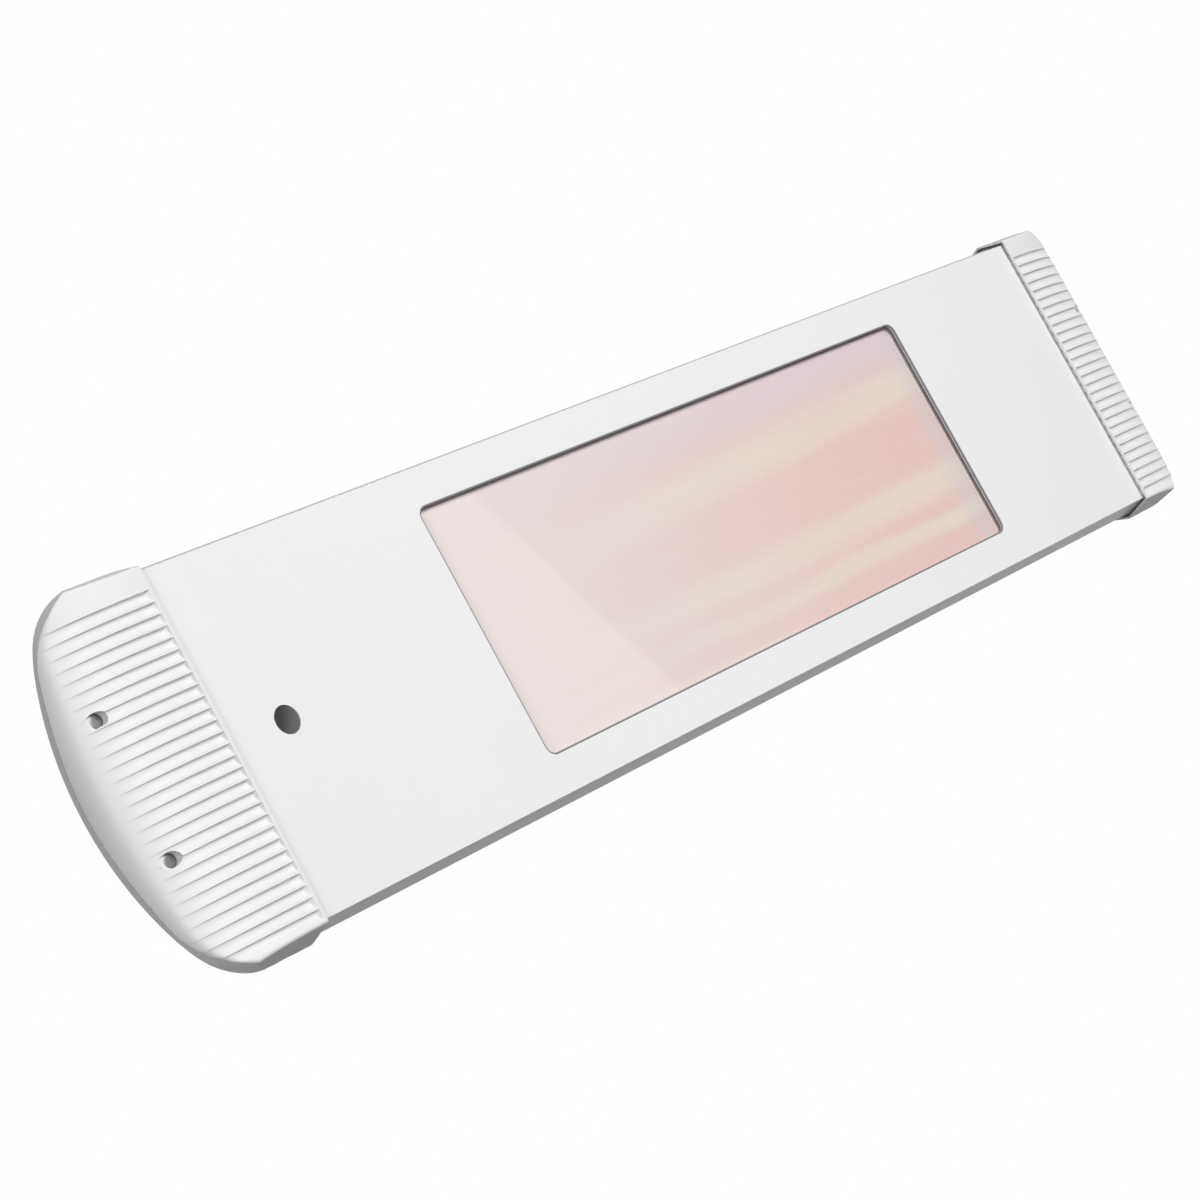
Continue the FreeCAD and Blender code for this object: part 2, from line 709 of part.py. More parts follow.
def cable_gland():
    centre = at(terminal_x, cover_back, -gland_offset)
    back = Vector(0, 1, 0)
    body = hexagon(gland_hex, centre, back, Vector(0, 0, 1), gland_hex_height)
    dome_t = cover_back + gland_hex_height
    dome = rod_back(terminal_x, -gland_offset, gland_dome_radius, dome_t, dome_t + gland_dome_height)
    rim = [e for e in dome.Edges if len(e.Vertexes) == 1 and e.BoundBox.YMin > front_y + dome_t]
    dome = dome.makeFillet(gland_dome_radius - gland_bore_radius - gland_fit, rim)
    thread_t = housing_depth - gland_thread_length
    thread = rod_back(terminal_x, -gland_offset, gland_thread_radius, thread_t, cover_back)
    bore = rod_back(terminal_x, -gland_offset, gland_bore_radius, thread_t - cut_over,
                    dome_t + gland_dome_height + cut_over)
    return body.fuse([dome, thread]).cut(bore)


def gland_nut():
    centre = at(terminal_x, housing_depth - gland_nut_height, -gland_offset)
    nut = hexagon(gland_hex, centre, Vector(0, 1, 0), Vector(0, 0, 1), gland_nut_height)
    return nut.cut(rod_back(terminal_x, -gland_offset, gland_thread_radius + base_fit,
                            housing_depth - gland_nut_height - cut_over, housing_depth + cut_over))


def backing_plate():
    x = yoke_screw_x + yoke_screw_radius + backing_margin
    z = yoke_screw_z + yoke_screw_radius + backing_margin
    plate = box(-x, x, housing_depth - mount_sheet, housing_depth, -z, z)
    return plate.cut([rod_back(i, j, yoke_screw_radius, housing_depth - mount_sheet - cut_over,
                               housing_depth + cut_over) for i, j in yoke_screw_places()])


def tilt_yoke():
    base_t = cover_back + mount_sheet
    base = box(-yoke_half_width, yoke_half_width, cover_back, base_t, -yoke_height / 2, yoke_height / 2)
    pieces = []
    for x in (-yoke_half_width, yoke_half_width - mount_sheet):
        plate = box(x, x + mount_sheet, cover_back, pivot_depth, -yoke_ear_radius, yoke_ear_radius)
        pieces.append(plate.fuse(rod_along(pivot_depth, 0, yoke_ear_radius, x, x + mount_sheet)))
    yoke = base.fuse(pieces).removeSplitter()
    holes = [rod_along(pivot_depth, 0, pivot_radius + pivot_fit, -yoke_half_width - cut_over,
                       yoke_half_width + cut_over)]
    holes += [rod_back(x, z, yoke_screw_radius + screw_fit, cover_back - cut_over, base_t + cut_over)
              for x, z in yoke_screw_places()]
    return yoke.cut(holes)


def yoke_screws():
    length = 2 * mount_sheet + cover_thickness + yoke_screw_end
    return [headed_screw(x, z, cover_back + mount_sheet, yoke_screw_radius, length, yoke_head_radius,
                         yoke_head_height) for x, z in yoke_screw_places()]


def wall_bracket():
    wall_t = pivot_depth + pivot_from_wall
    plate = rounded_plate(-wall_plate_length / 2, wall_plate_length / 2, wall_t - mount_sheet, wall_t,
                          -wall_plate_height / 2, wall_plate_height / 2, wall_plate_corner)
    root = ear_root_height / 2
    ears = []
    for x in (-ear_outside, ear_inside):
        outline = [(wall_t - mount_sheet, -root), (wall_t - mount_sheet, root),
                   (pivot_depth, ear_radius), (pivot_depth, -ear_radius)]
        ear = prism_along(outline, x, x + mount_sheet)
        ears.append(ear.fuse(rod_along(pivot_depth, 0, ear_radius, x, x + mount_sheet)))
    bracket = plate.fuse(ears).removeSplitter()
    pivot_end = ear_outside + cut_over
    holes = [rod_along(pivot_depth, 0, pivot_radius + pivot_hole_fit, -pivot_end, pivot_end)]
    holes += [rod_back(i * wall_hole_span_x / 2, j * wall_hole_span_z / 2, wall_hole_radius,
                       wall_t - mount_sheet - cut_over, wall_t + cut_over) for i in (-1, 1) for j in (-1, 1)]
    return bracket.cut(holes)


def pivot_bolts():
    bolts = []
    nut_end = yoke_half_width - mount_sheet - wear_gap - pivot_nut_height
    for side in (-1, 1):
        out = Vector(side, 0, 0)
        head = hexagon(pivot_hex, at(side * ear_outside, pivot_depth, 0), out, Vector(0, 0, 1),
                       pivot_head_height)
        ends = sorted((side * ear_outside, side * (nut_end - pivot_thread_end)))
        bolts.append(head.fuse(rod_along(pivot_depth, 0, pivot_radius, ends[0], ends[1])))
    return bolts


def pivot_nuts():
    nuts = []
    face = yoke_half_width - mount_sheet - wear_gap
    for side in (-1, 1):
        nut = hexagon(pivot_hex, at(side * face, pivot_depth, 0), Vector(-side, 0, 0), Vector(0, 0, 1),
                      pivot_nut_height)
        ends = sorted((side * (face + cut_over), side * (face - pivot_nut_height - cut_over)))
        nuts.append(nut.cut(rod_along(pivot_depth, 0, pivot_radius, ends[0], ends[1])))
    return nuts


def friction_washers():
    washers = []
    for side in (-1, 1):
        ends = sorted((side * ear_inside, side * (yoke_half_width + wear_gap)))
        washer = rod_along(pivot_depth, 0, washer_radius, ends[0], ends[1])
        washers.append(washer.cut(rod_along(pivot_depth, 0, pivot_radius + pivot_hole_fit, ends[0] - cut_over,
                                            ends[1] + cut_over)))
    return washers


os.makedirs("parts", exist_ok=True)

export("housing_shell", housing_shell())
export("rear_cover", rear_cover())
export("rear_cover_screws", *rear_cover_screws())
cap = right_end_cap()
export("right_end_cap", cap)
export("left_end_cap", mirrored(cap))
bracket = right_end_bracket()
export("right_end_bracket", bracket)
export("left_end_bracket", mirrored(bracket))
export("cap_screws", *cap_screws())
seal = right_cap_seal()
export("cap_seals", seal, mirrored(seal))

export("glass_gasket", window_frame(glass_overlap, gasket_setback, gasket_t, glass_t))
export("window_glass", window_glass())
export("glass_retainer", glass_retainer())
export("retainer_studs", *retainer_studs())

export("reflector", reflector())
export("reflector_ends", *reflector_ends())
export("quartz_tube", quartz_tube())
export("filament", filament())
export("lamp_bases", *lamp_bases())
export("lamp_holders", *lamp_holders())
export("heat_shield", heat_shield())

export("receiver_lens", receiver_lens())
export("receiver_board", receiver_board())
export("control_board", control_board())
export("board_standoffs", *board_standoffs())
export("heat_sink", heat_sink())
export("terminal_block", terminal_block())
export("thermal_cutout", thermal_cutout())
export("lamp_leads", *lamp_leads())
export("cable_gland", cable_gland())
export("gland_nut", gland_nut())

export("yoke_backing_plate", backing_plate())
export("tilt_yoke", tilt_yoke())
export("yoke_screws", *yoke_screws())
export("wall_bracket", wall_bracket())
export("pivot_bolts", *pivot_bolts())
export("pivot_nuts", *pivot_nuts())
export("friction_washers", *friction_washers())
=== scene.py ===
import json
import math

import bmesh
import bpy
import numpy as np
from mathutils import Matrix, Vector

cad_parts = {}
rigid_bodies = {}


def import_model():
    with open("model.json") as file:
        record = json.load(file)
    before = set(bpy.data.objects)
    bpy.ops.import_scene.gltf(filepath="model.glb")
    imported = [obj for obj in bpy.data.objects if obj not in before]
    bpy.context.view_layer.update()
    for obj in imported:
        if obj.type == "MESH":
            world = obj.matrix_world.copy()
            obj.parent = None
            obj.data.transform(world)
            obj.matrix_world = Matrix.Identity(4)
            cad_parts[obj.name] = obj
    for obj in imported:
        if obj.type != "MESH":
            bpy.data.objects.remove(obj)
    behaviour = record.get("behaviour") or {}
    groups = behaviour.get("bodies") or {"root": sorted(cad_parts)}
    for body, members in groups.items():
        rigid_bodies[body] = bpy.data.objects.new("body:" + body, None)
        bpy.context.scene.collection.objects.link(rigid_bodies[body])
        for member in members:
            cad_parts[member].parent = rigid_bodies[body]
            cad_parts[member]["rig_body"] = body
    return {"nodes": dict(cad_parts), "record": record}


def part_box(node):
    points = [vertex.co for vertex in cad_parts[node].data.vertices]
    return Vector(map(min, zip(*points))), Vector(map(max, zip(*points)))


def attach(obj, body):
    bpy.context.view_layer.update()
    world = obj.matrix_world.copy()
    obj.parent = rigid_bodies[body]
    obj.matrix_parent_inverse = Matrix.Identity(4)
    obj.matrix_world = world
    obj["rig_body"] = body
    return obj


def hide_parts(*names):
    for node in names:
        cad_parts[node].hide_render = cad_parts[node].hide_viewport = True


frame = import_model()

nodes = frame["nodes"]
slotOf = {part["node"]: part["material_slot"] for part in frame["record"]["subparts"]}
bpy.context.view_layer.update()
mm = 0.001
print("frame loaded,", len(nodes), "nodes")


# shader helpers: every finish is a Principled shader with its own grain on Object coordinates

def newFinish(name, color, roughness, metallic=0.0):
    material = bpy.data.materials.new(name)
    material.use_nodes = True
    tree = material.node_tree
    shader = tree.nodes["Principled BSDF"]
    shader.inputs["Base Color"].default_value = (*color, 1.0)
    shader.inputs["Roughness"].default_value = roughness
    shader.inputs["Metallic"].default_value = metallic
    return material, tree, shader


def addNode(tree, kind, **inputs):
    # an underscore in an input's name stands for a space
    node = tree.nodes.new(kind)
    for key, value in inputs.items():
        node.inputs[key.replace("_", " ")].default_value = value
    return node


def objectCoords(tree, stretch=(1.0, 1.0, 1.0)):
    coords = tree.nodes.new("ShaderNodeTexCoord")
    mapping = addNode(tree, "ShaderNodeMapping", Scale=stretch)
    tree.links.new(coords.outputs["Object"], mapping.inputs["Vector"])
    return mapping.outputs["Vector"]


def objectAxes(tree):
    axes = tree.nodes.new("ShaderNodeSeparateXYZ")
    tree.links.new(objectCoords(tree), axes.inputs["Vector"])
    return axes.outputs["X"], axes.outputs["Z"]


def noiseFactor(tree, scale, detail, stretch=(1.0, 1.0, 1.0)):
    # noise drawn out along the axes whose stretch is small
    noise = addNode(tree, "ShaderNodeTexNoise", Scale=scale, Detail=detail)
    tree.links.new(objectCoords(tree, stretch), noise.inputs["Vector"])
    return noise.outputs["Fac"]


def spread(tree, factor, low, high):
    # maps a 0 to 1 factor onto low to high
    node = addNode(tree, "ShaderNodeMapRange", To_Min=low, To_Max=high)
    tree.links.new(factor, node.inputs["Value"])
    return node.outputs["Result"]


def ease(tree, value, start, end):
    # 0 at start and 1 at end with soft ends
    node = addNode(tree, "ShaderNodeMapRange", From_Min=start, From_Max=end)
    node.interpolation_type = "SMOOTHERSTEP"
    tree.links.new(value, node.inputs["Value"])
    return node.outputs["Result"]


def calc(tree, operation, *values):
    # a math node whose inputs are sockets or plain numbers
    node = tree.nodes.new("ShaderNodeMath")
    node.operation = operation
    for socket, value in zip(node.inputs, values):
        if isinstance(value, (int, float)):
            socket.default_value = value
        else:
            tree.links.new(value, socket)
    return node.outputs["Value"]


def blend(tree, factor, first, second):
    # first and second are colours or sockets
    node = tree.nodes.new("ShaderNodeMix")
    node.data_type = "RGBA"
    tree.links.new(factor, node.inputs["Factor"])
    for name, value in (("A", first), ("B", second)):
        if isinstance(value, tuple):
            node.inputs[name].default_value = (*value, 1.0)
        else:
            tree.links.new(value, node.inputs[name])
    return node.outputs["Result"]


def addGrain(tree, shader, noise, roughness, bump, relief):
    # the noise sways the roughness between two values and raises the surface
    tree.links.new(spread(tree, noise, *roughness), shader.inputs["Roughness"])
    raised = addNode(tree, "ShaderNodeBump", Strength=bump, Distance=relief)
    tree.links.new(noise, raised.inputs["Height"])
    tree.links.new(raised.outputs["Normal"], shader.inputs["Normal"])


# grained finishes: drawn metals have their grain stretched along the length
grainWork = {"fineDetail": 3.0, "coarseDetail": 2.0, "sway": 0.06, "relief": 0.0004}
lengthways = (0.05, 1.0, 1.0)
grainLooks = {
    "white_powder_coat": {"color": (0.84, 0.84, 0.838), "roughness": 0.42, "grain": 1400.0, "bump": 0.10,
                          "wander": 0.008},
    "white_cap_plastic": {"color": (0.80, 0.80, 0.797), "roughness": 0.52, "grain": 2200.0, "bump": 0.06,
                          "wander": 0.008},
    "bright_aluminium": {"color": (0.86, 0.85, 0.84), "roughness": 0.14, "metallic": 1.0, "grain": 500.0,
                         "bump": 0.04, "stretch": lengthways},
    "heat_sink_aluminium": {"color": (0.62, 0.63, 0.64), "roughness": 0.38, "metallic": 1.0, "grain": 700.0,
                            "stretch": lengthways},
    "galvanised_steel": {"color": (0.60, 0.61, 0.62), "roughness": 0.42, "metallic": 0.9, "grain": 300.0,
                         "wander": 0.06, "blotch": 160.0},
    # zinc fasteners: darker than plain zinc, partly as painted shade so the screws sunk in the caps' recesses
    # read as the shade inside them
    "zinc_fasteners": {"color": (0.17, 0.17, 0.168), "roughness": 0.36, "metallic": 1.0, "grain": 1800.0,
                       "wander": 0.04},
    # grey silicone: a dark grey, partly painted shade, so the window's lip bead reads as the shadowed gap
    # along the opening
    "grey_silicone": {"color": (0.21, 0.21, 0.22), "roughness": 0.62, "grain": 1600.0, "bump": 0.12},
    "white_ceramic": {"color": (0.82, 0.79, 0.72), "roughness": 0.58, "grain": 1500.0, "bump": 0.14,
                      "wander": 0.03},
    "tungsten": {"color": (0.55, 0.36, 0.22), "roughness": 0.35, "metallic": 1.0, "grain": 2400.0,
                 "bump": 0.3},
    "black_plastic": {"color": (0.045, 0.045, 0.05), "roughness": 0.45, "grain": 1500.0, "bump": 0.14},
    "fibre": {"color": (0.16, 0.13, 0.10), "roughness": 0.72, "grain": 1200.0, "bump": 0.25, "wander": 0.03},
    "lead_sleeve": {"color": (0.74, 0.71, 0.66), "roughness": 0.66, "grain": 1700.0, "bump": 0.3,
                    "wander": 0.03},
    "circuit_board": {"color": (0.03, 0.17, 0.08), "roughness": 0.34, "grain": 600.0, "bump": 0.1},
    "quartz": {"color": (0.95, 0.93, 0.90), "roughness": 0.06, "grain": 300.0, "bump": 0.01},
}


def grainFinish(name, color, roughness, grain, metallic=0.0, bump=0.05, wander=0.02, blotch=22.0,
                stretch=(1.0, 1.0, 1.0)):
    # fine noise raises the surface and sways the roughness, a coarse one sways the colour
    material, tree, shader = newFinish(name, color, roughness, metallic)
    fine = noiseFactor(tree, grain, grainWork["fineDetail"], stretch)
    coarse = noiseFactor(tree, blotch, grainWork["coarseDetail"], stretch)
    sway = (roughness - grainWork["sway"], roughness + grainWork["sway"])
    addGrain(tree, shader, fine, sway, bump, grainWork["relief"])
    dark = tuple(max(c - wander, 0.0) for c in color)
    light = tuple(min(c + wander, 1.0) for c in color)
    tree.links.new(blend(tree, coarse, dark, light), shader.inputs["Base Color"])
    return material


# heater glass, painted glow: its colours stand for the glow of the lamp behind it, as streaks along the
# length that fade towards the left, with a painted shadow at the right end; each streak is its height at the
# middle and its half width, in metres, and then its slope
glassLook = {
    "pale": (0.830, 0.735, 0.720), "salmon": (0.815, 0.570, 0.520), "sand": (0.825, 0.735, 0.615),
    "lavender": (0.760, 0.625, 0.650), "shade": (0.640, 0.600, 0.620),
    "streaks": ((0.0210, 0.009, 0.050), (-0.0255, 0.007, 0.020), (-0.0420, 0.004, 0.010)), "softness": 1.9,
    "wander": 0.011, "waveStretch": (9.0, 1.0, 26.0), "waveDetail": 2.0,
    "wispStretch": (7.0, 1.0, 150.0), "wispDetail": 3.0, "thinning": (0.25, 1.35),
    "faintWisps": (0.50, 0.75), "faintShare": 0.4,
    "topBand": (0.026, 0.052), "leftFade": (-0.21, 0.19), "fadeWander": 3.0,
    # the painted shadow at the right end: its band along the length, its lean with height and its share of
    # the shade tone
    "endBand": (0.160, 0.186), "endLean": 0.05, "endShare": 0.55,
    "plainRoughness": 0.05, "roughness": (0.01, 0.04), "grain": 60.0, "detail": 2.0, "bump": 0.01,
    "relief": 0.0002, "coat": 0.6, "coatRoughness": 0.02,
}


def sandStreaks(tree, x, z, wave):
    # nearness to lines that climb along the length and wander by the wave, thinned by a drawn-out noise
    # that also leaves faint wisps between them
    look = glassLook
    sand = None
    for height, half, climb in look["streaks"]:
        line = calc(tree, "ADD", calc(tree, "MULTIPLY", x, climb), calc(tree, "ADD", wave, height))
        away = calc(tree, "ABSOLUTE", calc(tree, "SUBTRACT", z, line))
        near = ease(tree, away, look["softness"] * half, 0.0)
        sand = near if sand is None else calc(tree, "MAXIMUM", sand, near)
    wisps = noiseFactor(tree, 1.0, look["wispDetail"], look["wispStretch"])
    faint = calc(tree, "MULTIPLY", ease(tree, wisps, *look["faintWisps"]), look["faintShare"])
    return calc(tree, "MAXIMUM", calc(tree, "MULTIPLY", sand, spread(tree, wisps, *look["thinning"])), faint)


def glassFinish(name):
    # painted glow: salmon to sand by the streaks, then lavender towards the top and pale towards the left,
    # and a painted shadow at the right end, each eased across its band
    look = glassLook
    material, tree, shader = newFinish(name, look["pale"], look["plainRoughness"])
    x, z = objectAxes(tree)
    long = noiseFactor(tree, 1.0, look["waveDetail"], look["waveStretch"])
    wave = calc(tree, "MULTIPLY", calc(tree, "SUBTRACT", long, 0.5), look["wander"])
    warm = blend(tree, sandStreaks(tree, x, z, wave), look["salmon"], look["sand"])
    high = ease(tree, calc(tree, "ADD", z, wave), *look["topBand"])
    warm = blend(tree, high, warm, look["lavender"])
    swayedX = calc(tree, "ADD", x, calc(tree, "MULTIPLY", wave, look["fadeWander"]))
    color = blend(tree, ease(tree, swayedX, *look["leftFade"]), look["pale"], warm)
    # painted shadow: the right end darkens towards the shade tone across the end band
    leaningX = calc(tree, "SUBTRACT", x, calc(tree, "MULTIPLY", z, look["endLean"]))
    end = calc(tree, "MULTIPLY", ease(tree, leaningX, *look["endBand"]), look["endShare"])
    color = blend(tree, end, color, look["shade"])
    tree.links.new(color, shader.inputs["Base Color"])
    addGrain(tree, shader, noiseFactor(tree, look["grain"], look["detail"]), look["roughness"], look["bump"],
             look["relief"])
    shader.inputs["Coat Weight"].default_value = look["coat"]
    shader.inputs["Coat Roughness"].default_value = look["coatRoughness"]
    return material


# receiver lens: smoked plastic with painted light that brightens it towards its lower right
lensLook = {
    "plain": (0.03, 0.03, 0.033), "dark": (0.012, 0.012, 0.014), "lit": (0.105, 0.105, 0.108),
    "lean": 0.7, "litBand": (-0.2760, -0.2620), "plainRoughness": 0.14, "roughness": (0.10, 0.18),
    "grain": 700.0, "detail": 2.0, "bump": 0.02, "relief": 0.0002,
}


def lensFinish(name):
    # painted light: dark to lit, eased across a band of x less a share of z
    look = lensLook
    material, tree, shader = newFinish(name, look["plain"], look["plainRoughness"])
    x, z = objectAxes(tree)
    across = calc(tree, "SUBTRACT", x, calc(tree, "MULTIPLY", z, look["lean"]))
    lit = ease(tree, across, *look["litBand"])
    tree.links.new(blend(tree, lit, look["dark"], look["lit"]), shader.inputs["Base Color"])
    addGrain(tree, shader, noiseFactor(tree, look["grain"], look["detail"]), look["roughness"], look["bump"],
             look["relief"])
    return material


finishes = {slot: grainFinish(slot.replace("_", " "), **look) for slot, look in grainLooks.items()}
finishes["smoked_lens"] = lensFinish("smoked lens")
finishes["heater_glass"] = glassFinish("heater glass")

for nodeName, slotName in slotOf.items():
    nodeMesh = nodes[nodeName].data
    nodeMesh.materials.clear()
    nodeMesh.materials.append(finishes[slotName])
print("finishes set on", len(slotOf), "nodes")


# meshes: grids of points are joined into one closed surface

def gridFaces(rows, columns, first=0):
    # quads of a rows by columns grid of points that starts at index first
    index = np.arange(rows * columns).reshape(rows, columns) + first
    quads = [index[:-1, :-1], index[:-1, 1:], index[1:, 1:], index[1:, :-1]]
    return np.stack(quads, axis=-1).reshape(-1, 4)


def meshFromGrids(name, grids, weld=1e-6):
    # grids are arrays of rows by columns by xyz in metres; edges that meet are welded
    points = np.concatenate([grid.reshape(-1, 3) for grid in grids])
    starts = np.cumsum([0] + [grid.shape[0] * grid.shape[1] for grid in grids])
    faces = np.concatenate([gridFaces(*grid.shape[:2], start) for grid, start in zip(grids, starts)])
    mesh = bpy.data.meshes.new(name)
    mesh.from_pydata(points.tolist(), [], faces.tolist())
    weldMesh(mesh, weld)
    return mesh


def editMesh(mesh, change):
    # hands the mesh to change and writes the result back
    work = bmesh.new()
    work.from_mesh(mesh)
    change(work)
    work.to_mesh(mesh)
    work.free()


def weldMesh(mesh, distance):
    # merges points closer than distance and turns the faces outwards
    def weld(work):
        bmesh.ops.remove_doubles(work, verts=work.verts, dist=distance)
        bmesh.ops.dissolve_degenerate(work, edges=work.edges, dist=distance)
        bmesh.ops.recalc_face_normals(work, faces=work.faces)

    editMesh(mesh, weld)


def smoothMesh(mesh, angle):
    # smooth shading, with a crease where two faces meet at more than the angle
    mesh.polygons.foreach_set("use_smooth", np.ones(len(mesh.polygons), bool))
    mesh.set_sharp_from_angle(angle=math.radians(angle))


def inScene(name, data):
    made = bpy.data.objects.new(name, data)
    bpy.context.scene.collection.objects.link(made)
    return made


def newPiece(name, mesh, body, slot, *replaced):
    # rides on a body, has the slot's finish and stands in for the replaced nodes
    piece = inScene(name, mesh)
    mesh.materials.clear()
    mesh.materials.append(finishes[slot])
    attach(piece, body)
    if replaced:
        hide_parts(*replaced)
    return piece


def bakeModifiers(piece, name):
    # the piece's mesh becomes what its modifiers show
    bpy.context.view_layer.update()
    mesh = bpy.data.meshes.new_from_object(piece.evaluated_get(bpy.context.evaluated_depsgraph_get()))
    mesh.name = name
    piece.data = mesh
    piece.modifiers.clear()


# folded and turned pieces: the solid's shape with its edges broken by a small round, in millimetres and
# degrees

brokenEdges = {
    "housing_shell": 0.7, "rear_cover": 0.5, "wall_bracket": 0.7, "tilt_yoke": 0.7, "cable_gland": 0.4,
    "gland_nut": 0.3, "pivot_bolts": 0.4, "pivot_nuts": 0.3, "friction_washers": 0.2, "receiver_lens": 0.25,
}
edgeWork = {"weld": 0.01, "flatAngle": 0.5, "sharpAngle": 25.0, "segments": 3, "faceWeight": 100,
            "creaseAngle": 180.0}


def breakEdges(node, width):
    # faces in one plane are joined, then each edge sharper than sharpAngle gets a round of the width
    name = node + "_dressed"
    mesh = nodes[node].data.copy()
    weldMesh(mesh, edgeWork["weld"] * mm)
    editMesh(mesh, lambda work: bmesh.ops.dissolve_limit(
        work, angle_limit=math.radians(edgeWork["flatAngle"]), verts=work.verts, edges=work.edges))
    piece = newPiece(name, mesh, nodes[node]["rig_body"], slotOf[node], node)
    bevel = piece.modifiers.new("edge", "BEVEL")
    bevel.width = width * mm
    bevel.segments = edgeWork["segments"]
    bevel.limit_method = "ANGLE"
    bevel.angle_limit = math.radians(edgeWork["sharpAngle"])
    bevel.use_clamp_overlap = True
    flat = piece.modifiers.new("flat", "WEIGHTED_NORMAL")
    flat.weight = edgeWork["faceWeight"]
    flat.keep_sharp = True
    smoothMesh(mesh, edgeWork["creaseAngle"])
    bakeModifiers(piece, name)


for nodeName, edgeWidth in brokenEdges.items():
    breakEdges(nodeName, edgeWidth)
print("edges broken on", len(brokenEdges), "pieces")


# end caps, in millimetres: a runs outwards from the cap's inner edge, t back from the panel's face, z up

capShape = {
    "length": 56.99, "domeReach": 58.0, "domeDrop": 27.0, "domeMiddle": 24.6,
    "frontHalf": 76.5, "wideHalf": 81.0, "rearHalf": 67.0,  # half widths at the three depths below
    "frontDepth": -2.4, "wideDepth": 13.5, "backDepth": 55.0,
    "planHalf": 81.5, "bowRadius": 300.0, "cornerRadius": 34.0,  # outline seen from the front
    "rearReach": 80.9, "rearBow": 125.0, "rearCorner": 36.0, "draft": 0.9,  # outline that recedes with depth
    "backRun": 24.0, "lipDepth": 26.1, "wall": 0.9,
    "sideRoll": 1.4, "endRoll": 7.0, "rollFrom": 42.0, "rollTo": 56.0, "rollTurn": 60.0,
    "seam": 0.8, "seamDepth": 0.7, "seamLip": 0.05, "seamFade": 8.0,
    "ribTop": 66.4, "ribPitch": 5.07, "ribCount": 28, "ribStart": 1.5, "ribStartRun": 0.35,
    "ribDepth": 1.9, "ribRunOut": 1.67, "ribFillet": 0.45,
    "screwOut": 43.0, "screwHeight": 29.3, "recess": 3.2, "recessRun": 2.0, "seat": 9.4,
    "spineReach": 10.0, "spineHalf": 45.0,  # the inner line from which rays go out to the wall
    "creaseAngle": 24.0,
}

# where the cap's grid has its rows and columns: inFillet is in shares of the fillet, pastFillet of the rib,
# edge and top in millimetres from the long edge, the shares along the reach, the walls along the depth
capRows = {
    "inFillet": (0.0015, 0.012, 0.035, 0.09, 0.18, 0.3, 0.45, 0.62, 0.82, 1.0),
    "pastFillet": (0.7, 0.9, 0.995),
    "edge": (0, 0.06, 0.18, 0.36, 0.6, 0.9, 1.3, 1.9, 2.7, 3.6, 4.5, 5.2),
    "topFrom": 6.0, "topTo": 0.1, "topRows": 4, "straightHalf": 72.0,
    "innerShares": (0, 0.008, 0.022, 0.026, 0.033), "middleShares": (0.05, 0.84, 42),
    "outerShares": (0.14, 0.12, 0.1, 0.08, 0.062, 0.046, 0.032, 0.02, 0.011, 0.005, 0.0015, 0),
    "upperWall": (0.14, 1, 7), "lowerWall": (0.06, 1, 15),
}


def domeDepth(a):
    # quarter of an ellipse from the cap's front at its inner edge down to its end
    cap = capShape
    return cap["domeMiddle"] - cap["domeDrop"] * np.sqrt(np.clip(1 - (a / cap["domeReach"]) ** 2, 0, 1))


def ribDepth(a, z):
    # below each step a quarter of a squarish ellipse, of the third power, goes in to the rib's depth, then
    # a straight slope comes back to the dome at the next step; it fades where the dome crosses the deeper
    # ellipse
    cap = capShape
    floor = cap["domeMiddle"] - (cap["domeDrop"] - cap["ribDepth"]) * np.sqrt(
        np.clip(1 - (a / (cap["domeReach"] + cap["ribRunOut"])) ** 2, 0, 1))
    phase = (cap["ribTop"] - z) / cap["ribPitch"]
    down, fillet = np.mod(phase, 1.0), cap["ribFillet"]
    inFillet = np.cbrt(1 - np.clip(1 - down / fillet, 0, 1) ** 3)
    tooth = np.where(down < fillet, inFillet, (1 - down) / (1 - fillet))
    ribbed = (phase >= 0) & (phase < cap["ribCount"])
    start = np.clip((a - cap["ribStart"]) / cap["ribStartRun"], 0, 1)
    return np.clip(floor - domeDepth(a), 0, None) * tooth * ribbed * start


def planEdge(a, z, reach, bow, corner, half):
    # distance inside an outline with straight sides, round corners and a bowed end
    centre = reach - bow
    cornerZ = half - corner
    cornerA = centre + math.sqrt((bow - corner) ** 2 - cornerZ ** 2)
    high = np.abs(z)
    inBow = bow - np.hypot(a - centre, high)
    inCorner = corner - np.hypot(a - cornerA, high - cornerZ)
    pastBow = (high - cornerZ) * (cornerA - centre) > (a - cornerA) * cornerZ
    atCorner = (high > cornerZ) & (a > cornerA) & pastBow
    return np.where(atCorner, inCorner, np.minimum(inBow, half - high))


def frontEdge(a, z):
    # distance inside the outline seen from the front
    cap = capShape
    return planEdge(a, z, cap["length"], cap["bowRadius"], cap["cornerRadius"], cap["planHalf"])


def sideHalf(t):
    # half the width of the cap's section, widest at wideDepth
    cap = capShape
    return np.interp(t, [cap["frontDepth"], cap["wideDepth"], cap["backDepth"]],
                     [cap["frontHalf"], cap["wideHalf"], cap["rearHalf"]])


def insideCap(a, z, t):
    # smallest distance inside the section, the outline, the receding rear and the sloped back
    cap = capShape
    rear = planEdge(a + cap["draft"] * t, z, cap["rearReach"], cap["rearBow"], cap["rearCorner"],
                    cap["planHalf"])
    slope = cap["domeReach"] - cap["backRun"] * np.clip(
        (t - cap["lipDepth"]) / (cap["backDepth"] - cap["lipDepth"]), 0, 1)
    return np.minimum.reduce([sideHalf(t) - np.abs(z), frontEdge(a, z), rear, slope - a])


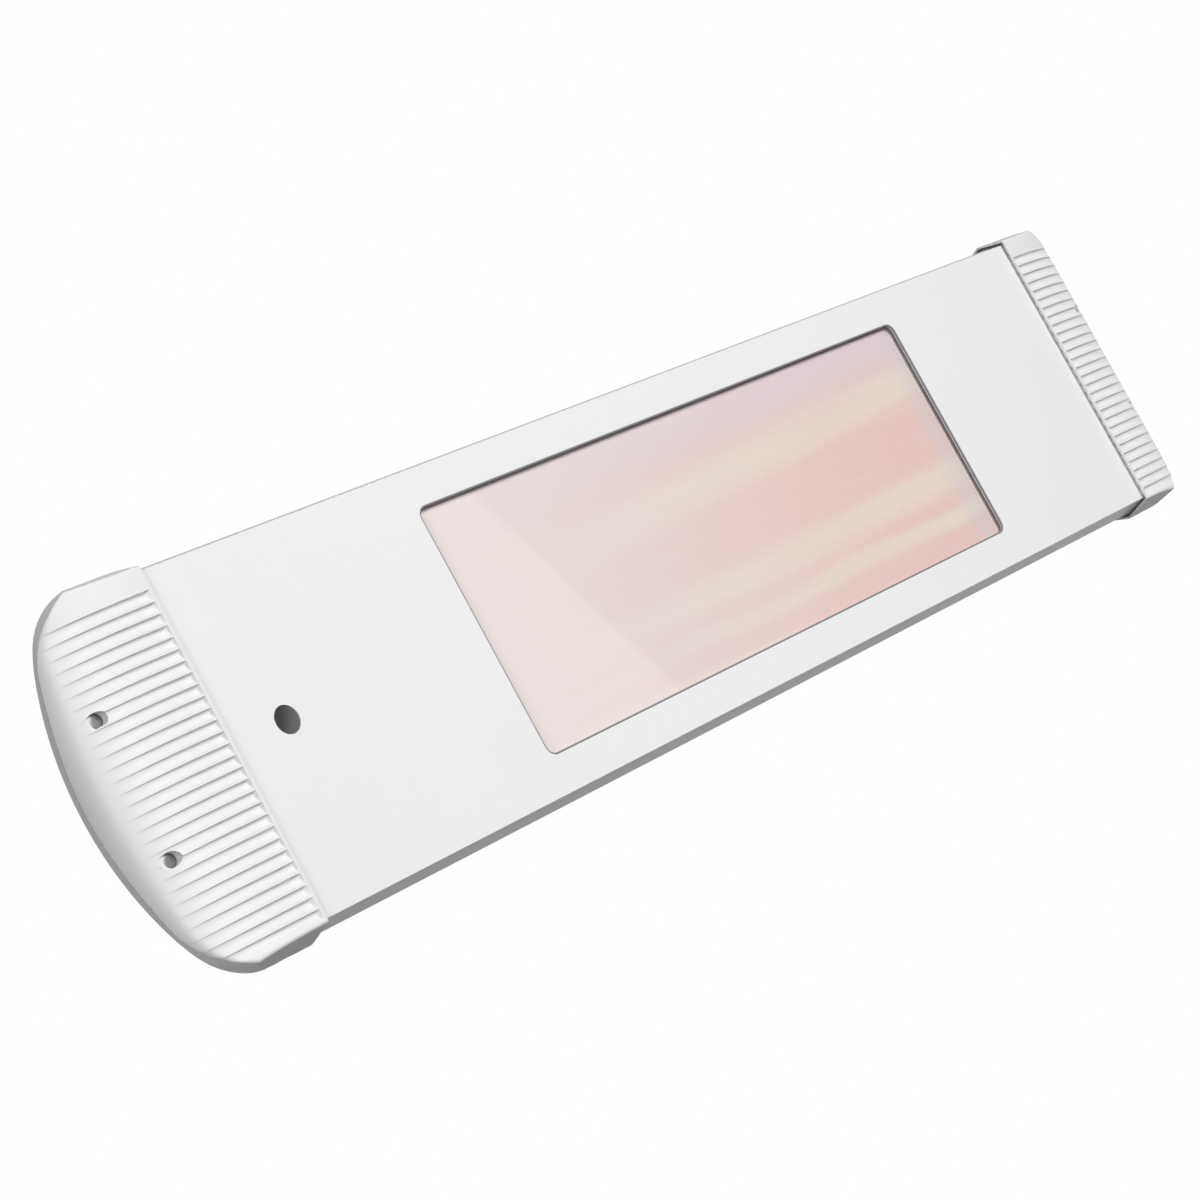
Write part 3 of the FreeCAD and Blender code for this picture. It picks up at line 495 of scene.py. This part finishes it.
def reachOf(startA, startZ, aimA, aimZ, t, farAway=120.0, halvings=40):
    # farthest point inside the cap along a ray at depth t, by halving
    low = np.zeros_like(startA)
    high = np.full_like(startA, farAway)
    for step in range(halvings):
        middle = (low + high) / 2
        good = insideCap(startA + aimA * middle, startZ + aimZ * middle, t) > 0
        low = np.where(good, middle, low)
        high = np.where(good, high, middle)
    return startA + aimA * low, startZ + aimZ * low


def widestDepth(spineA, spineZ, aimA, aimZ, below, slack=0.03, least=0.3, samples=60, halvings=16):
    # the last depth at which the wall still has its full reach, by halving
    def reach(t):
        wallA, wallZ = reachOf(spineA, spineZ, aimA, aimZ, t)
        return np.hypot(wallA - spineA, wallZ - spineZ)

    levels = below + (capShape["backDepth"] - below) * np.linspace(0, 1, samples)[:, None]
    reaches = np.stack([reach(level) for level in levels])
    full = reaches.max(axis=0) - slack
    low = np.take_along_axis(levels, reaches.argmax(axis=0)[None, :], axis=0)[0]
    high = np.full_like(below, capShape["backDepth"])
    for step in range(halvings):
        middle = (low + high) / 2
        good = reach(middle) >= full
        low, high = np.where(good, middle, low), np.where(good, high, middle)
    return np.maximum(low, below + least)


def rowHeights():
    # rows of the front: close together at each rib's step and at the two long edges
    cap, rows = capShape, capRows
    inFillet = np.array(rows["inFillet"]) * cap["ribFillet"]
    inRib = np.concatenate([inFillet, rows["pastFillet"]]) * cap["ribPitch"]
    ribs = (cap["ribTop"] - np.arange(cap["ribCount"])[:, None] * cap["ribPitch"] - inRib).ravel()
    edge = np.array(rows["edge"])
    plain = np.linspace(rows["topFrom"], cap["frontHalf"] - cap["ribTop"] - rows["topTo"], rows["topRows"])
    top = cap["frontHalf"] - np.concatenate([edge, plain])
    foot = -(cap["frontHalf"] - edge[::-1])
    heights = np.concatenate([top, ribs, foot])
    return np.sort(heights[np.abs(heights) <= cap["frontHalf"]])[::-1]


def rollRadius(a):
    # the rounded edge is small along the straight sides and grows to a full roll round the end
    cap = capShape
    share = np.clip((a - cap["rollFrom"]) / (cap["rollTo"] - cap["rollFrom"]), 0, 1)
    return cap["sideRoll"] + (cap["endRoll"] - cap["sideRoll"]) * share * share * (3 - 2 * share)


def rollDrop(a, near):
    # an arc that starts level and has turned by rollTurn at the edge; near is the way to the edge
    radius = rollRadius(a)
    across = np.clip(radius * math.sin(math.radians(capShape["rollTurn"])) - near, 0, radius)
    return radius - np.sqrt(radius ** 2 - across ** 2)


def capFront(rounds=6):
    # rows of height and columns of reach; the outermost rows are moved to follow the flared sides
    cap, rows = capShape, capRows
    heights = rowHeights()[:, None]
    share = np.concatenate([rows["innerShares"], np.linspace(*rows["middleShares"]),
                            1 - np.array(rows["outerShares"])])[None, :]
    straight = rows["straightHalf"]
    outer = np.clip((np.abs(heights) - straight) / (cap["frontHalf"] - straight), 0, 1)
    z = np.broadcast_to(heights, (heights.size, share.size)).copy()
    for step in range(rounds):
        start = np.full_like(z, cap["spineReach"])
        a = share * reachOf(start, z, np.ones_like(z), np.zeros_like(z), cap["wideDepth"])[0]
        edge = sideHalf(domeDepth(a) + rollDrop(a, 0.0))
        high = np.where(np.abs(heights) > straight, straight + outer * (edge - straight), np.abs(heights))
        z = np.sign(heights) * high
    return a, z, edge


def shouldered(a, z, edge):
    # the dome with its ribs, rolled over along the edges
    near = np.clip(np.minimum(frontEdge(a, z), edge - np.abs(z)), 0, None)
    return domeDepth(a) + ribDepth(a, z) + rollDrop(a, near)


def outline(grid):
    # the grid's top row, outer column and bottom row as one line
    return np.concatenate([grid[0, :-1], grid[:-1, -1], grid[-1, ::-1]])


def capGrids():
    # the front, the wall that goes back from its outline with a seam under the end, and the flat back
    cap = capShape
    a, z, edge = capFront()
    t = shouldered(a, z, edge)
    loopA, loopZ, loopT = outline(a), outline(z), outline(t)
    spineA = np.minimum(loopA, cap["spineReach"])
    spineZ = np.clip(loopZ, -cap["spineHalf"], cap["spineHalf"])
    away = np.hypot(loopA - spineA, loopZ - spineZ)
    aimA = (loopA - spineA) / away
    aimZ = (loopZ - spineZ) / away
    seamTop = loopT + cap["seamLip"]
    seamFoot = loopT + cap["seam"]
    below = seamFoot + cap["seamLip"]
    middle = widestDepth(spineA, spineZ, aimA, aimZ, below)
    seamInset = np.clip((loopA - cap["rollFrom"]) / cap["seamFade"], 0, 1) * cap["seamDepth"]
    levels = [(seamTop, seamInset), (seamFoot, seamInset), (below, 0)]
    levels += [(below + (middle - below) * share, 0) for share in np.linspace(*capRows["upperWall"])]
    levels += [(middle + (cap["backDepth"] - middle) * share, 0)
               for share in np.linspace(*capRows["lowerWall"])]
    rows = [(loopA, loopZ, loopT)]
    for level, inset in levels:
        wallA, wallZ = reachOf(spineA, spineZ, aimA, aimZ, level)
        rows.append((wallA - aimA * inset, wallZ - aimZ * inset, level))
    wall = np.stack([np.stack(row, axis=-1) for row in rows])
    # the flat back spans from the upper half of the last loop to its lower half
    half = (wall.shape[1] + 1) // 2
    back = np.stack([wall[-1, :half], wall[-1, ::-1][:half]])
    return [np.stack([a, z, t], axis=-1), wall, back]


def placed(grid, side):
    # from cap millimetres to the frame's metres; side is 1 for the right cap and -1 for the left
    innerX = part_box("right_end_cap")[0].x
    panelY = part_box("housing_shell")[0].y
    a, z, t = grid[..., 0], grid[..., 1], grid[..., 2]
    return np.stack([side * (innerX + a * mm), panelY + t * mm, z * mm], axis=-1)


def faceOutwards(mesh, inside):
    # turns all faces over when most of them look towards the inside point
    count = len(mesh.polygons)
    normals, centres, areas = np.zeros(3 * count), np.zeros(3 * count), np.zeros(count)
    mesh.polygons.foreach_get("normal", normals)
    mesh.polygons.foreach_get("center", centres)
    mesh.polygons.foreach_get("area", areas)
    outward = np.sum(normals.reshape(-1, 3) * (centres.reshape(-1, 3) - inside), axis=1)
    if np.sum(outward * areas) < 0:
        mesh.flip_normals()


def recessCutter(side, high, before=-8.0, points=49):
    # a closed tube of oval section that opens a recess in the cap's front; recessRun draws it out
    # towards the end
    cap = capShape
    turn = np.linspace(0, 2 * math.pi, points)
    share = np.array([0.0, 1.0, 1.0, 0.0])[:, None]
    depth = np.array([before, before, cap["seat"], cap["seat"]])[:, None]
    halfRun = cap["recessRun"] / 2
    middleZ = high * cap["screwHeight"]
    a = cap["screwOut"] + halfRun + (cap["recess"] + halfRun) * share * np.cos(turn)
    z = middleZ + cap["recess"] * share * np.sin(turn)
    mesh = meshFromGrids("cutter", [placed(np.stack([a, z, depth + 0 * a], axis=-1), side)])
    faceOutwards(mesh, placed(np.array([cap["screwOut"], middleZ, cap["seat"] / 2]), side))
    return inScene("cutter", mesh)


def closeEnd(work):
    # fills the open inner end with one flat face
    bmesh.ops.holes_fill(work, edges=work.edges, sides=0)
    bmesh.ops.recalc_face_normals(work, faces=work.faces)


def openEnd(work, endX, square=0.99, near=0.01 * mm):
    # takes that face away again
    ends = [face for face in work.faces
            if abs(face.normal.x) > square and abs(face.calc_center_median().x - endX) < near]
    bmesh.ops.delete(work, geom=ends, context="FACES")


def makeCap(side, name, node):
    # the closed outer form is cut by the two recesses, then opened and given its wall
    shape = capShape
    cap = newPiece(name, meshFromGrids(name, [placed(grid, side) for grid in capGrids()]), "heater",
                   "white_cap_plastic", node)
    editMesh(cap.data, closeEnd)
    faceOutwards(cap.data, placed(np.array([shape["spineReach"], 0.0, shape["lipDepth"]]), side))
    cutters = [recessCutter(side, high) for high in (-1, 1)]
    for cutter in cutters:
        opening = cap.modifiers.new("recess", "BOOLEAN")
        opening.operation = "DIFFERENCE"
        opening.solver = "EXACT"
        opening.object = cutter
    bakeModifiers(cap, name)
    for cutter in cutters:
        bpy.data.objects.remove(cutter)
    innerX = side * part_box("right_end_cap")[0].x
    editMesh(cap.data, lambda work: openEnd(work, innerX))
    thick = cap.modifiers.new("wall", "SOLIDIFY")
    thick.thickness = shape["wall"] * mm
    thick.offset = -1.0
    bakeModifiers(cap, name)
    smoothMesh(cap.data, shape["creaseAngle"])
    print(name, "has", len(cap.data.polygons), "faces")


makeCap(1, "right_end_cap_dressed", "right_end_cap")
makeCap(-1, "left_end_cap_dressed", "left_end_cap")
print("caps made")


# screws, in millimetres: a head with a hexagon socket, domed by a share of its height and sunk below the
# solid's; across and up count the rows, facing is 1 where the head looks back

screwShapes = {
    "rear_cover_screws": {"across": 5, "up": 2, "head": 3.8, "high": 2.2, "dome": 0.6, "shank": 2.0,
                          "socket": 1.5, "deep": 1.54, "sunk": 0.0, "facing": 1},
    "yoke_screws": {"across": 2, "up": 2, "head": 4.5, "high": 2.8, "dome": 0.6, "shank": 2.5,
                    "socket": 2.0, "deep": 1.96, "sunk": 0.0, "facing": 1},
    "cap_screws": {"across": 2, "up": 2, "head": 2.9, "high": 1.2, "dome": 0.1, "shank": 1.75,
                   "socket": 1.2, "deep": 0.2, "sunk": 0.9, "facing": -1},
}
screwWork = {"points": 37, "domeRings": 7, "socketRim": 1.3, "creaseAngle": 35.0}


def screwRings(shape, length):
    # rings from the socket's floor out over the head and down the shank, as radius and height above the
    # seat; a hexagon's radius is half its width over the cosine of the turn from the nearest flat
    turn = np.linspace(0, 2 * math.pi, screwWork["points"])
    hexagon = shape["socket"] / np.cos(np.mod(turn, math.pi / 3) - math.pi / 6)
    head, high, shank = shape["head"], shape["high"], shape["shank"]
    floor = high - shape["deep"]
    inner = screwWork["socketRim"] * shape["socket"]
    bend = np.linspace(0, math.pi / 2, screwWork["domeRings"])
    radius = [0, 1, 1, *(inner + (head - inner) * np.sin(bend)), head, shank, shank, 0]
    height = [floor, floor, high, *(high - shape["dome"] * high * (1 - np.cos(bend))), 0, 0, -length, -length]
    socketRing = np.isin(np.arange(len(radius)), (1, 2))[:, None]
    radius = np.array(radius, float)[:, None] * np.where(socketRing, hexagon, 1.0)
    return turn, radius, np.array(height, float)[:, None]


def makeScrews(node, shape):
    # the rings turned about Y at each place of an even grid whose outer heads touch the solid's box
    lo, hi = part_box(node)
    top = shape["high"] + shape["sunk"]
    turn, radius, height = screwRings(shape, (hi.y - lo.y) / mm - top)
    headTop = hi.y if shape["facing"] > 0 else lo.y
    y = headTop + shape["facing"] * (height - top) * mm + 0 * radius
    edge = shape["head"] * mm
    places = [(x, z) for x in np.linspace(lo.x + edge, hi.x - edge, shape["across"])
              for z in np.linspace(lo.z + edge, hi.z - edge, shape["up"])]
    outX, outZ = radius * np.cos(turn) * mm, radius * np.sin(turn) * mm
    grids = [np.stack([x + outX, y, z + outZ], axis=-1) for x, z in places]
    piece = newPiece(node + "_dressed", meshFromGrids(node, grids), nodes[node]["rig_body"],
                     "zinc_fasteners", node)
    smoothMesh(piece.data, screwWork["creaseAngle"])


for nodeName, screwShape in screwShapes.items():
    makeScrews(nodeName, screwShape)
print("screws made")


# window: the gasket's lip shows as a thin bead along the opening's edge, in millimetres

# the bead's dark grey is partly painted shade: it stands for the shadow in the gap along the opening's edge
windowLip = {"glassOverlap": 7.0, "corner": 5.0, "inset": 0.40, "depth": 0.55, "radius": 0.45,
             "cornerPoints": 13, "ringPoints": 13, "creaseAngle": 60.0}


def makeWindowLip():
    # a ring swept along a rounded rectangle; each corner is a quarter turn about its own centre
    lip = windowLip
    lo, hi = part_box("window_glass")
    margin = (lip["glassOverlap"] + lip["corner"]) * mm
    quarters = [np.linspace(k, k + 1, lip["cornerPoints"]) for k in range(4)]
    turn = np.concatenate(quarters) * math.pi / 2
    corner = np.repeat([0, 1, 2, 3], lip["cornerPoints"])
    centreX = np.where((corner == 0) | (corner == 3), hi.x - margin, lo.x + margin)
    centreZ = np.where(corner < 2, hi.z - margin, lo.z + margin)
    turn, centreX, centreZ = (np.append(row, row[0])[:, None] for row in (turn, centreX, centreZ))
    ring = np.linspace(0, 2 * math.pi, lip["ringPoints"])[None, :]
    out = (lip["corner"] - lip["inset"] + lip["radius"] * np.cos(ring)) * mm
    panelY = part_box("housing_shell")[0].y
    y = panelY + (lip["depth"] + lip["radius"] * np.sin(ring)) * mm
    grid = np.stack([centreX + out * np.cos(turn), y + 0 * turn, centreZ + out * np.sin(turn)], axis=-1)
    bead = newPiece("glass_gasket_lip", meshFromGrids("glass_gasket_lip", [grid]), "heater", "grey_silicone")
    smoothMesh(bead.data, lip["creaseAngle"])


makeWindowLip()
print("window lip made")


# stage: a pale floor well below the heater that fades into the white background

stageLook = {"floorZ": -1.2, "reach": 1.6, "fadeFrom": 1.0, "floorColor": (0.9, 0.9, 0.9),
             "floorRoughness": 0.9, "ambient": 0.05}


def flatMesh(name, corners, material):
    # one face through four corners
    mesh = bpy.data.meshes.new(name)
    mesh.from_pydata(corners, [], [(0, 1, 2, 3)])
    mesh.materials.append(material)
    return mesh


def makeFloor():
    # the paint turns clear between fadeFrom and reach, by the distance from the middle
    reach, floorZ = stageLook["reach"], stageLook["floorZ"]
    material, tree, shader = newFinish("floor paint", stageLook["floorColor"], stageLook["floorRoughness"])
    away = addNode(tree, "ShaderNodeVectorMath")
    away.operation = "LENGTH"
    tree.links.new(objectCoords(tree, (1.0, 1.0, 0.0)), away.inputs[0])
    fade = addNode(tree, "ShaderNodeMapRange", From_Min=stageLook["fadeFrom"], From_Max=reach)
    tree.links.new(away.outputs["Value"], fade.inputs["Value"])
    clear = tree.nodes.new("ShaderNodeBsdfTransparent")
    mix = tree.nodes.new("ShaderNodeMixShader")
    tree.links.new(fade.outputs["Result"], mix.inputs["Fac"])
    tree.links.new(shader.outputs["BSDF"], mix.inputs[1])
    tree.links.new(clear.outputs["BSDF"], mix.inputs[2])
    tree.links.new(mix.outputs["Shader"], tree.nodes["Material Output"].inputs["Surface"])
    corners = [(reach * x, reach * y, floorZ) for x, y in ((-1, -1), (1, -1), (1, 1), (-1, 1))]
    inScene("floor", flatMesh("floor", corners, material))


def makeWorld():
    # white to the camera, to mirrors and through glass, and a plain grey light on everything else
    world = bpy.data.worlds.new("studio")
    bpy.context.scene.world = world
    world.use_nodes = True
    tree = world.node_tree
    background = tree.nodes["Background"]
    background.inputs["Color"].default_value = (1.0, 1.0, 1.0, 1.0)
    path = tree.nodes.new("ShaderNodeLightPath")
    seen = path.outputs["Is Camera Ray"]
    for ray in ("Is Glossy Ray", "Is Transmission Ray"):
        seen = calc(tree, "MAXIMUM", seen, path.outputs[ray])
    tree.links.new(spread(tree, seen, stageLook["ambient"], 1.0), background.inputs["Strength"])


# grey cards that only reflections see: the slanted edge of one crosses the glass, and the one
# behind keeps the grazing edges from shining white
reflectedCards = {
    "beside": {"corners": ((1.20, -2.0, 1.5), (5.0, -2.0, 1.5), (5.0, -2.0, -0.75), (2.27, -2.0, -0.75)),
               "color": (0.92, 0.94, 1.0), "strength": 0.45},
    "behind": {"corners": ((-3.0, 1.8, -0.5), (5.0, 1.8, -0.5), (5.0, 1.8, 2.2), (-3.0, 1.8, 2.2)),
               "color": (1.0, 1.0, 1.0), "strength": 0.12},
}


def makeCards():
    for name, look in reflectedCards.items():
        material, tree, shader = newFinish(name, (0.0, 0.0, 0.0), 1.0)
        shader.inputs["Emission Color"].default_value = (*look["color"], 1.0)
        shader.inputs["Emission Strength"].default_value = look["strength"]
        card = inScene(name, flatMesh(name, look["corners"], material))
        card.visible_camera = False
        card.visible_diffuse = False
        card.visible_shadow = False
        card.visible_transmission = False


lamps = {
    "key": {"place": (0.4, -3.4, 1.4), "aim": (0.05, -0.1, 0.05), "size": 2.0, "power": 14.1, "spread": 50.0},
    "fill": {"place": (-2.7, -1.5, 0.4), "aim": (-0.2, -0.1, 0.0), "size": 1.4, "power": 3.2, "spread": 50.0},
    "back": {"place": (0.6, 2.8, 0.5), "aim": (0.0, 0.0, 0.0), "size": 1.6, "power": 6.0, "spread": 50.0},
}


def standing(right, back, place):
    # the matrix of a lamp or camera at place with these local X and Z axes
    turned = Matrix(np.column_stack([right, np.cross(back, right), back]).tolist()).to_4x4()
    turned.translation = place
    return turned


def makeLamps():
    # each lamp's local -Z axis points from its place to its aim
    for name, lamp in lamps.items():
        light = bpy.data.lights.new(name, "AREA")
        light.size = lamp["size"]
        light.energy = lamp["power"]
        light.spread = math.radians(lamp["spread"])
        back = np.subtract(lamp["place"], lamp["aim"])
        back /= np.linalg.norm(back)
        right = np.cross((0.0, 0.0, 1.0), back)
        right /= np.linalg.norm(right)
        inScene(name, light).matrix_world = standing(right, back, lamp["place"])


# camera at the photograph's angle: it looks along forward, and right follows the picture's roll
cameraView = {"place": (-1.02441, -1.03703, -0.10546), "lens": 92.32, "sensor": 36.0,
              "forward": (0.71285463, 0.69735214, 0.07441962),
              "right": (0.63929669, -0.60252186, -0.47777312)}


def makeCamera():
    data = bpy.data.cameras.new("camera")
    data.sensor_width = cameraView["sensor"]
    data.lens = cameraView["lens"]
    camera = inScene("camera", data)
    camera.matrix_world = standing(np.array(cameraView["right"]), -np.array(cameraView["forward"]),
                                   cameraView["place"])
    bpy.context.scene.camera = camera


makeFloor()
makeCards()
makeWorld()
makeLamps()
makeCamera()
bpy.context.scene.view_settings.view_transform = "Standard"
print("stage, lamps and camera made")
